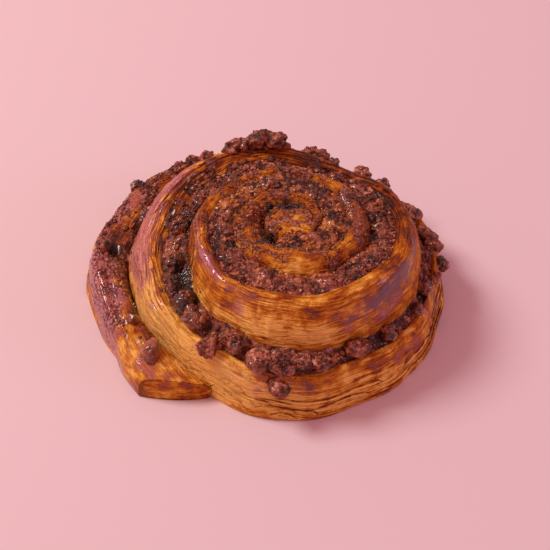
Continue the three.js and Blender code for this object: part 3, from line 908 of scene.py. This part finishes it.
lumps = {
    # baked onto the dough: turn, share of the strip's width, radius, rise of the middle as a share of it
    "onDough": [
        (0.055, 0.18, 3.1, 0.1), (0.111, 0.06, 1.9, 0.3), (0.2, 0.42, 2, 0), (0.276, 0.82, 2.2, 0.1),
        (0.315, 0.52, 2, 0), (0.327, 0.54, 2.2, 0), (0.492, 0.88, 2.7, 0), (0.519, 0.88, 2.4, 0.1),
        (0.564, 0.52, 2.2, 0.1), (0.577, 0.5, 3.1, 0), (0.608, 0.6, 2.4, 0), (0.62, 0.66, 2.2, 0.3),
        (0.634, 0.72, 2.2, 0), (0.654, 0.88, 2.6, 0), (0.679, 0.78, 1.9, 0.2), (0.928, 0.95, 3.4, -0.25),
        (1.016, 0.72, 3.3, 0), (1.318, 0.84, 2.1, 0.2), (1.343, 0.74, 2.3, 0.2), (1.358, 0.78, 3.4, 0.3),
        (1.381, 0.74, 3.7, 0.6), (1.399, 0.74, 3.3, 0.6), (1.412, 0.76, 2, -0.2), (1.444, 0.84, 2.6, 0),
        (1.46, 0.82, 2.5, 0.2), (1.481, 0.72, 1.9, -0.1),
    ],
    # in the groove: turn of the strip outside it, radius
    "large": [
        (0.704, 2.8), (0.79, 2.6), (0.835, 3), (0.88, 2.9), (0.904, 3), (0.929, 3.9), (0.953, 3.8),
        (0.987, 3), (1.052, 3.5), (1.08, 3.2), (1.113, 3.3), (1.15, 2.9), (1.185, 2.8), (1.221, 3),
        (1.265, 3), (1.5, 2.6), (1.55, 2.8), (1.854, 3.1), (1.97, 2.5), (2.06, 2.6), (2.5, 2.2),
    ],
    "spacing": 22,  # of the smaller lumps between them
    "radius": (1.7, 2.7),
    "room": 4.5,
    "fineFrom": 2.4,  # radius in mm from which a lump has more faces
    "largeFrom": 3.2,
    "corners": (20, 42),  # of a small and a large lump in the plain model, which draws once for each
    "seeds": {"dough": 41, "filling": 17},
    "glazed": 2,  # the first ones on the dough, at the tail, are glazed smooth
    "glaze": {"dough": 0.1, "filling": 0.4},  # of the others
    "flats": (0.78, 1.06),  # how far its flat sides lie from the middle, as shares of the radius
    "bluntness": 8,  # of the edges between them: higher is sharper
    "knobs": (0.16, 1.5),  # depth as a share of the radius, and how close together they are
    "grains": [(0.7, 2.3), (0.35, 1)],  # depth and size in mm
}


def lumpSpots(draw):
    places = list(lumps["large"])
    turn = 0.05
    while turn < coil["turns"] - 0.96:
        around = 2 * pi * innerWall(turn)
        radius = lerp(*lumps["radius"], next(draw))
        if all(abs(other - turn) * around > lumps["room"] for other, _ in places):
            places.append((turn, radius))
        turn += lumps["spacing"] * (0.7 + 0.6 * next(draw)) / around
    return places


def addLump(bm, fields, centre, radius, draw, glazed):
    stretch = Vector((0.95 + 0.25 * next(draw), 0.95 + 0.25 * next(draw), 0.85 + 0.2 * next(draw)))
    knob = Vector((next(draw) - 0.5, next(draw) - 0.5, next(draw))).normalized()
    corners = [next(draw) for _ in range(lumps["corners"][radius > lumps["largeFrom"]])]
    flats = []
    for lean, around, far in zip(corners[::3], corners[1::3], corners[2::3]):
        up = 2 * lean - 1
        level = sqrt(1 - up * up)
        flat = Vector((level * cos(2 * pi * around), level * sin(2 * pi * around), up))
        flats.append((flat, lerp(*lumps["flats"], far)))
    power = lumps["bluntness"]
    made = bmesh.ops.create_icosphere(bm, subdivisions=5 if radius > lumps["fineFrom"] else 4, radius=1)
    depth, count = lumps["knobs"]
    tone = 0.42 - 0.1 * glazed + 0.3 * noise.noise(centre / mm / 5) - 0.25 * burntAndShadedAt(centre / mm)
    for vert in made["verts"]:
        out = vert.co.normalized()
        closeness = 1.15 ** -power + sum((max(0, out.dot(flat)) / far) ** power for flat, far in flats)
        bulge = closeness ** (-1 / power) + 0.1 * max(0, out.dot(knob))
        bulge += depth * noise.noise(out * count + centre * 900)
        spot = out * stretch * radius * bulge
        grain = 0
        for grainDepth, grainSize in lumps["grains"]:
            grain += grainDepth * (granules(spot + centre / mm, grainSize) - 0.55) * (1.3 - 0.9 * glazed)
        vert.co = centre + (spot + out * grain) * mm
        burnt, _ = bakedAt((vert.co - eyeSpot) / mm)
        paint(vert, fields, tone=tone + 0.4 * grain, wet=glazed, burnt=burnt)


def makeLumps(name, spots, seed):  # spots is a function of the draws that gives each lump's centre and radius
    draw = seededDraws(lumps["seeds"][seed])
    bm, fields = newMesh("tone", "wet", "burnt")
    for i, (centre, radius) in enumerate(spots(draw)):
        glazed = 1 if seed == "dough" and i < lumps["glazed"] else lumps["glaze"][seed]
        addLump(bm, fields, centre, radius, draw, glazed)
    return meshObject(name, bm)


def spotsOnDough(draw):
    for turn, share, radius, lift in lumps["onDough"]:
        cut, plain = Cut(turn), Cut(turn, True)
        across = plain.spot(share, 1)[0]
        share = ((across - cut.inner) / (cut.outer - cut.inner)) ** (1 / cut.flatness)
        yield plain.place(across, cut.top(share) + lift * radius), radius


def spotsInGroove(draw):
    for turn, radius in lumpSpots(draw):
        across = 0.3 + 0.4 * next(draw)
        if turn < coil["joined"][0]:
            radius *= 0.5  # sunk where the tail's flank closes the groove
        level = heapLevel(turn, across)
        cut = Cut(turn)
        middle = lerp(Cut(turn + 1).side(level, True), cut.side(level, False), across)
        yield cut.place(middle, level + 0.1 * radius), radius


def finishCrumble(piece, node="cinnamon_crumble"):
    return finishPiece(piece, node, crumbleSkin)


crumblePieces = [finishCrumble(windBed(*piece)) for piece in bed["pieces"]]
crumblePieces.append(finishCrumble(makeLumps("groove_lumps", spotsInGroove, "filling")))
crumblePieces.append(finishCrumble(makeLumps("lumps_on_dough", spotsOnDough, "dough"), "dough_coil"))

# What is strewn over the roll: how many, how finely divided, radius in mm, how deep it is sunk as a share of
# that, and how readily it stays on the dough beside the groove.
strewn = {
    "knobs": {"seed": 5, "count": 70, "detail": 3, "radius": (0.9, 1.5), "sunk": 0.6, "onDough": 0.1},
    "crumbs": {"seed": 6, "count": 2300, "detail": 2, "radius": (0.35, 0.8), "sunk": 0.55, "onDough": 0.25},
    "grains": {"seed": 7, "count": 6000, "detail": 1, "radius": (0.2, 0.4), "sunk": 0.4, "onDough": 0.7},
    "fines": {"seed": 8, "count": 6000, "detail": 1, "radius": (0.15, 0.28), "sunk": 0.3, "onDough": 0.9},
    # round sugared grains in one patch of the front groove, strewn from the front
    "beads": {"seed": 9, "count": 200, "detail": 2, "radius": (0.6, 0.95), "sunk": 0.2,
              "only": (0.89, 0.12, 7.5, 0.3)},
}
# Turn, share of the width, reach along in mm, reach across as a share, and the chance that a crumb stays.
crumbPatches = [
    (0.14, 0.8, 16, 0.35, 0.6), (0.928, 0.95, 4, 0.1, 1), (0.24, 0.75, 26, 0.4, 0.7),
    (0.3, 0.8, 14, 0.4, 0.95), (0.94, 0.9, 4.5, 0.12, 1), (0.86, 0.3, 10, 0.2, 0.6),
    (0.945, 0.85, 6, 0.15, 0.9),
]
# The same, without the chance, of places that stay bare.
barePatches = [(0.219, 0.25, 5, 0.22), (0.145, 0.35, 5, 0.25), (0.12, 0.3, 4, 0.3)]


def patchShare(turn, share, radius, spot):  # 1 in the middle of a patch, fading out
    patchTurn, across, length, width = spot
    u = (turn - patchTurn) * 2 * pi * radius / length
    v = (share - across) / width
    return exp(-u * u - v * v)


def crumbChance(turn, share, radius, onDough):
    valley = (1 - smoothstep(share, 0.14, 0.36)) * smoothstep(turn, 0.16, coil["joined"][1])
    valley *= 1 - 0.7 * between(turn, *bed["crevice"])
    backSide = between(turn, 1.26, 1.34, 1.55, 1.62)
    shoulder = smoothstep(share, 0.82, 0.97) * max(backSide, smoothstep(turn, 2.15, 2.25))
    swirl = 0.5 * smoothstep(turn, 2, 2.35)
    chance = max(valley * (1 - 0.5 * smoothstep(turn, 2.2, 2.5)), 0.8 * shoulder, onDough * swirl)
    for *patch, amount in crumbPatches:
        chance = max(chance, onDough * amount * patchShare(turn, share, radius, patch))
    for patch in barePatches:
        chance *= max(0, 1 - 1.5 * patchShare(turn, share, radius, patch))
    return chance


def strewnSpots(kind, draw, trees):  # middle and radius of what lands and stays
    drop = Vector((0, 1, -1) if "only" in kind else (0, 0, -1)).normalized()
    run = runLengths(0.02, coil["turns"], outerWall, 1500)
    found = []
    while len(found) < kind["count"]:
        turn = draw.choice(run)[0]
        share = draw.random()
        cut = Cut(turn)
        radius = cut.spot(share, 1)[0]
        if "only" in kind:
            chance = patchShare(turn, share, radius, kind["only"])
        else:
            chance = crumbChance(turn, share, radius, kind["onDough"])
        start = cut.place(radius, 20) - drop * 0.05
        clump = smoothstep(noise.noise(start * 200 + Vector((0, 0, turn))), -0.35, 0.15)
        if draw.random() > chance * lerp(clump, 1, 0.2) - max(0, -scorchAt((start - eyeSpot) / mm)):
            continue
        hits = [tree.ray_cast(start, drop) for tree in trees]
        hits = [hit for hit in hits if hit[0] is not None and -hit[1].dot(drop) > 0.25]
        if hits:
            spot, normal = min(hits, key=lambda hit: hit[3])[:2]
            size = lerp(*kind["radius"], draw.random() ** 1.8)
            found.append((spot + normal * size * mm * (0.5 - kind["sunk"]), size))
    return found


def copyAll(bm, count):  # until there are so many of what the mesh holds
    piles = bm.verts, bm.edges, bm.faces
    each = [len(pile) for pile in piles]
    made = 1
    while made < count:
        more = min(made, count - made)
        bmesh.ops.duplicate(bm, geom=[item for pile, size in zip(piles, each) for item in pile[:size * more]])
        for pile in piles:
            pile.ensure_lookup_table()
        made += more


def strew(name, kind, trees):
    draw = random.Random(kind["seed"])
    found = strewnSpots(kind, draw, trees)
    bm, fields = newMesh("tone", "golden", "burnt")
    bmesh.ops.create_icosphere(bm, subdivisions=kind["detail"], radius=1)
    each = len(bm.verts)
    copyAll(bm, len(found))
    verts = bm.verts[:]
    for i, (centre, size) in enumerate(found):
        turned = Matrix.Rotation(draw.uniform(0, 2 * pi), 3, "Z")
        turned = turned @ Matrix.Rotation(draw.uniform(0, pi), 3, "X")
        stretch = Vector((draw.uniform(0.75, 1.2), draw.uniform(0.75, 1.2), draw.uniform(0.6, 1)))
        tone = 0.44 + draw.uniform(-0.3, 0.36) - 0.3 * burntAndShadedAt(centre / mm)
        fromEye = (centre - eyeSpot) / mm
        golden = 0.5 * (1 - smoothstep(fromEye.length, 44, 50))
        burnt, _ = bakedAt(fromEye)
        for vert in verts[i * each:(i + 1) * each]:
            vert.co = centre + (turned @ vert.co) * stretch * size * mm * draw.uniform(0.7, 1.15)
            paint(vert, fields, tone=tone, golden=golden, burnt=burnt)
    finishCrumble(meshObject(name, bm))


graph = bpy.context.evaluated_depsgraph_get()
ground = [BVHTree.FromObject(piece, graph) for piece in doughPieces + crumblePieces]
for name, kind in strewn.items():
    strew("strewn_" + name, kind, ground)

view = {
    "target": (-4.8, 0, 15),  # mm from the underside of the eye
    "compass": 270, "height": 45, "distance": 0.65, "widthAtTarget": 0.1774,
}
camera = bpy.data.cameras.new("camera")
camera.sensor_width = 36
camera.lens = camera.sensor_width * view["distance"] / view["widthAtTarget"]
camera.clip_start = 0.01
back = towards(view["compass"], view["height"])
bpy.context.scene.camera = addObject("camera", camera)
aim(bpy.context.scene.camera, eyeSpot + Vector(view["target"]) * mm + back * view["distance"], -back)

table = {"size": 3, "colour": (0.79, 0.62, 0.65, 1), "roughness": 0.7, "specular": 0.2}
floorMesh = bmesh.new()
bmesh.ops.create_grid(floorMesh, x_segments=1, y_segments=1, size=table["size"])
floor = meshObject("floor", floorMesh)
floor.data.materials.append(Surface("pale_pink_table").finish({
    "Base Color": table["colour"], "Roughness": table["roughness"], "Specular IOR Level": table["specular"]}))

studio = {  # directions in degrees, distances and sizes in metres
    "sky": {"colour": (1, 0.45, 0.42, 1), "strength": 0.58},
    "lamps": {
        "key": {"compass": 163, "height": 51, "distance": 1.3, "size": 0.5, "power": 10.5,
                "colour": (1, 0.97, 0.95)},
        "cool": {"compass": 348, "height": 24, "distance": 0.9, "size": 0.3, "power": 1.2,
                 "colour": (0.4, 0.45, 1)},
    },
}
world = bpy.data.worlds.new("studio")
bpy.context.scene.world = world
world.use_nodes = True
sky = world.node_tree.nodes["Background"]
sky.inputs["Color"].default_value = studio["sky"]["colour"]
sky.inputs["Strength"].default_value = studio["sky"]["strength"]
for name, light in studio["lamps"].items():
    lamp = bpy.data.lights.new(name, "AREA")
    lamp.shape = "DISK"
    lamp.size = light["size"]
    lamp.energy = light["power"]
    lamp.color = light["colour"]
    direction = towards(light["compass"], light["height"])
    aim(addObject(name, lamp), direction * light["distance"], -direction)
bpy.context.scene.view_settings.view_transform = "Standard"
print("camera, floor and lights set")
